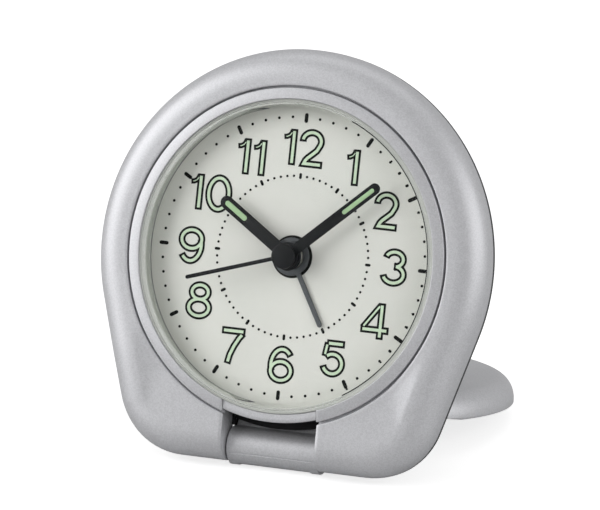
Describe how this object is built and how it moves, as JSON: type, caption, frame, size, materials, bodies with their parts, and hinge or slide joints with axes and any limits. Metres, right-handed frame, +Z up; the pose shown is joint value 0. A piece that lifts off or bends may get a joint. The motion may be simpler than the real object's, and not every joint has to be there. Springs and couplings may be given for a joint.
{
  "type": "travel alarm clock",
  "caption": "Round analogue travel alarm clock with a horseshoe case and a hinged lid that folds under as a stand.",
  "frame": {"origin": "centre of the base of the bounding box, on the table, with the lid folded under as a stand", "axes": "+X to the right of the dial as seen from the front, +Y to the back, +Z up"},
  "size_m": [0.0796, 0.0762, 0.0786],
  "materials": {
    "silver_paint": "fine metallic silver paint over plastic",
    "dark_plastic": "fine satin texture",
    "clear_plastic": "clear moulded acrylic",
    "cream_plastic": "satin",
    "dial_white": "matt print ground",
    "hand_black": "satin black",
    "hand_grey": "satin grey",
    "lume": "matt pale green glow paint",
    "gear_plastic": "satin acetal",
    "movement_plastic": "satin",
    "steel": "rolled and plated",
    "copper": "enamelled copper wire",
    "brass": "turned",
    "board_green": "solder mask over glass laminate",
    "magnet": "sintered ferrite",
    "battery_wrap": "printed wrap on a steel can",
    "switch_grey": "satin"
  },
  "bodies": {
    "case": {"front_frame": "silver_paint", "movement_holder": "silver_paint", "lens": "clear_plastic", "dial_wall": "cream_plastic", "dial": "dial_white", "movement_plate": "movement_plastic", "stator": "steel", "coil_core": "steel", "coil_bobbin": "cream_plastic", "coil_winding": "copper", "circuit_board": "board_green", "chip_blob": "movement_plastic", "quartz_can": "steel", "snooze_switch": "movement_plastic", "buzzer": "movement_plastic", "rear_case": "dark_plastic", "battery": "battery_wrap", "battery_plus": "steel", "battery_minus": "steel", "battery_spring": "steel", "case_screw_1": "steel", "case_screw_2": "steel", "case_screw_3": "steel", "case_screw_4": "steel", "hinge_pin": "steel"},
    "lid_leaf": {"lid": "silver_paint", "hinge_cap": "silver_paint"},
    "alarm_group": {"alarm_hand": "hand_grey", "alarm_pipe": "gear_plastic"},
    "alarm_setter": {"alarm_set_knob": "dark_plastic", "alarm_set_wheel": "gear_plastic"},
    "hour_group": {"hour_hand": "hand_black", "hour_lume": "lume", "hour_pipe": "gear_plastic"},
    "minute_group": {"minute_hand": "hand_black", "minute_lume": "lume", "minute_pipe": "brass"},
    "motion_work": {"motion_wheel": "gear_plastic"},
    "time_setter": {"time_set_knob": "dark_plastic", "time_set_wheel": "gear_plastic"},
    "second_group": {"second_hand": "hand_black", "second_cap": "hand_black", "second_arbor": "steel"},
    "third": {"third_wheel": "gear_plastic"},
    "centre": {"centre_wheel": "gear_plastic"},
    "fifth": {"fifth_wheel": "gear_plastic"},
    "motor_rotor": {"rotor": "magnet"},
    "door": {"battery_door": "dark_plastic"},
    "alarm_slider": {"alarm_switch": "switch_grey"},
    "snooze_bar": {"snooze_button": "dark_plastic"}
  },
  "joints": [
    {"name": "lid_hinge", "type": "hinge", "parent": "case", "child": "lid_leaf", "pos_m": [0, -0.0317, 0.00385], "axis": [-1, 0, 0], "range_deg": [0, 278.36]},
    {"name": "minute_turn", "type": "hinge", "parent": "case", "child": "minute_group", "pos_m": [0, -0.01956, 0.03902], "axis": [0, 0.9615, -0.275], "continuous": true},
    {"name": "hour_turn", "type": "hinge", "parent": "case", "child": "hour_group", "pos_m": [0, -0.01956, 0.03902], "axis": [0, 0.9615, -0.275], "continuous": true},
    {"name": "motion_turn", "type": "hinge", "parent": "case", "child": "motion_work", "pos_m": [-0.00866, -0.01819, 0.04382], "axis": [0, 0.9615, -0.275], "continuous": true},
    {"name": "time_set_turn", "type": "hinge", "parent": "case", "child": "time_setter", "pos_m": [-0.01853, -0.0172, 0.04727], "axis": [0, 0.9615, -0.275], "continuous": true},
    {"name": "alarm_turn", "type": "hinge", "parent": "case", "child": "alarm_group", "pos_m": [0, -0.01956, 0.03902], "axis": [0, 0.9615, -0.275], "continuous": true},
    {"name": "alarm_set_turn", "type": "hinge", "parent": "case", "child": "alarm_setter", "pos_m": [0.01324, -0.02021, 0.03677], "axis": [0, 0.9615, -0.275], "continuous": true},
    {"name": "rotor_turn", "type": "hinge", "parent": "case", "child": "motor_rotor", "pos_m": [-0.01328, -0.01621, 0.05074], "axis": [0, 0.9615, -0.275], "continuous": true},
    {"name": "fifth_turn", "type": "hinge", "parent": "case", "child": "fifth", "pos_m": [-0.00945, -0.01911, 0.04062], "axis": [0, 0.9615, -0.275], "continuous": true},
    {"name": "second_turn", "type": "hinge", "parent": "case", "child": "second_group", "pos_m": [0, -0.01956, 0.03902], "axis": [0, 0.9615, -0.275], "continuous": true},
    {"name": "third_turn", "type": "hinge", "parent": "case", "child": "third", "pos_m": [0.0054, -0.01699, 0.04801], "axis": [0, 0.9615, -0.275], "continuous": true},
    {"name": "centre_turn", "type": "hinge", "parent": "case", "child": "centre", "pos_m": [0, -0.01956, 0.03902], "axis": [0, 0.9615, -0.275], "continuous": true},
    {"name": "battery_door_slide", "type": "slide", "parent": "case", "child": "door", "axis": [1, 0, 0], "range_m": [0, 0.008]},
    {"name": "alarm_switch_slide", "type": "slide", "parent": "case", "child": "alarm_slider", "axis": [1, 0, 0], "range_m": [0, 0.0035]},
    {"name": "snooze_press", "type": "slide", "parent": "case", "child": "snooze_bar", "axis": [0, -0.275, -0.9615], "range_m": [0, 0.0009], "stiffness_N_per_m": 500, "springref_m": -0.0006}
  ],
  "couplings": [
    {"joint": "hour_turn", "follows": "minute_turn", "ratio": 0.083333},
    {"joint": "motion_turn", "follows": "minute_turn", "ratio": -0.33333},
    {"joint": "time_set_turn", "follows": "minute_turn", "ratio": 0.83333},
    {"joint": "alarm_set_turn", "follows": "alarm_turn", "ratio": -1.6667},
    {"joint": "fifth_turn", "follows": "rotor_turn", "ratio": -0.16667},
    {"joint": "second_turn", "follows": "rotor_turn", "ratio": 0.033333},
    {"joint": "third_turn", "follows": "rotor_turn", "ratio": -0.0041667},
    {"joint": "centre_turn", "follows": "rotor_turn", "ratio": 0.00055556}
  ]
}
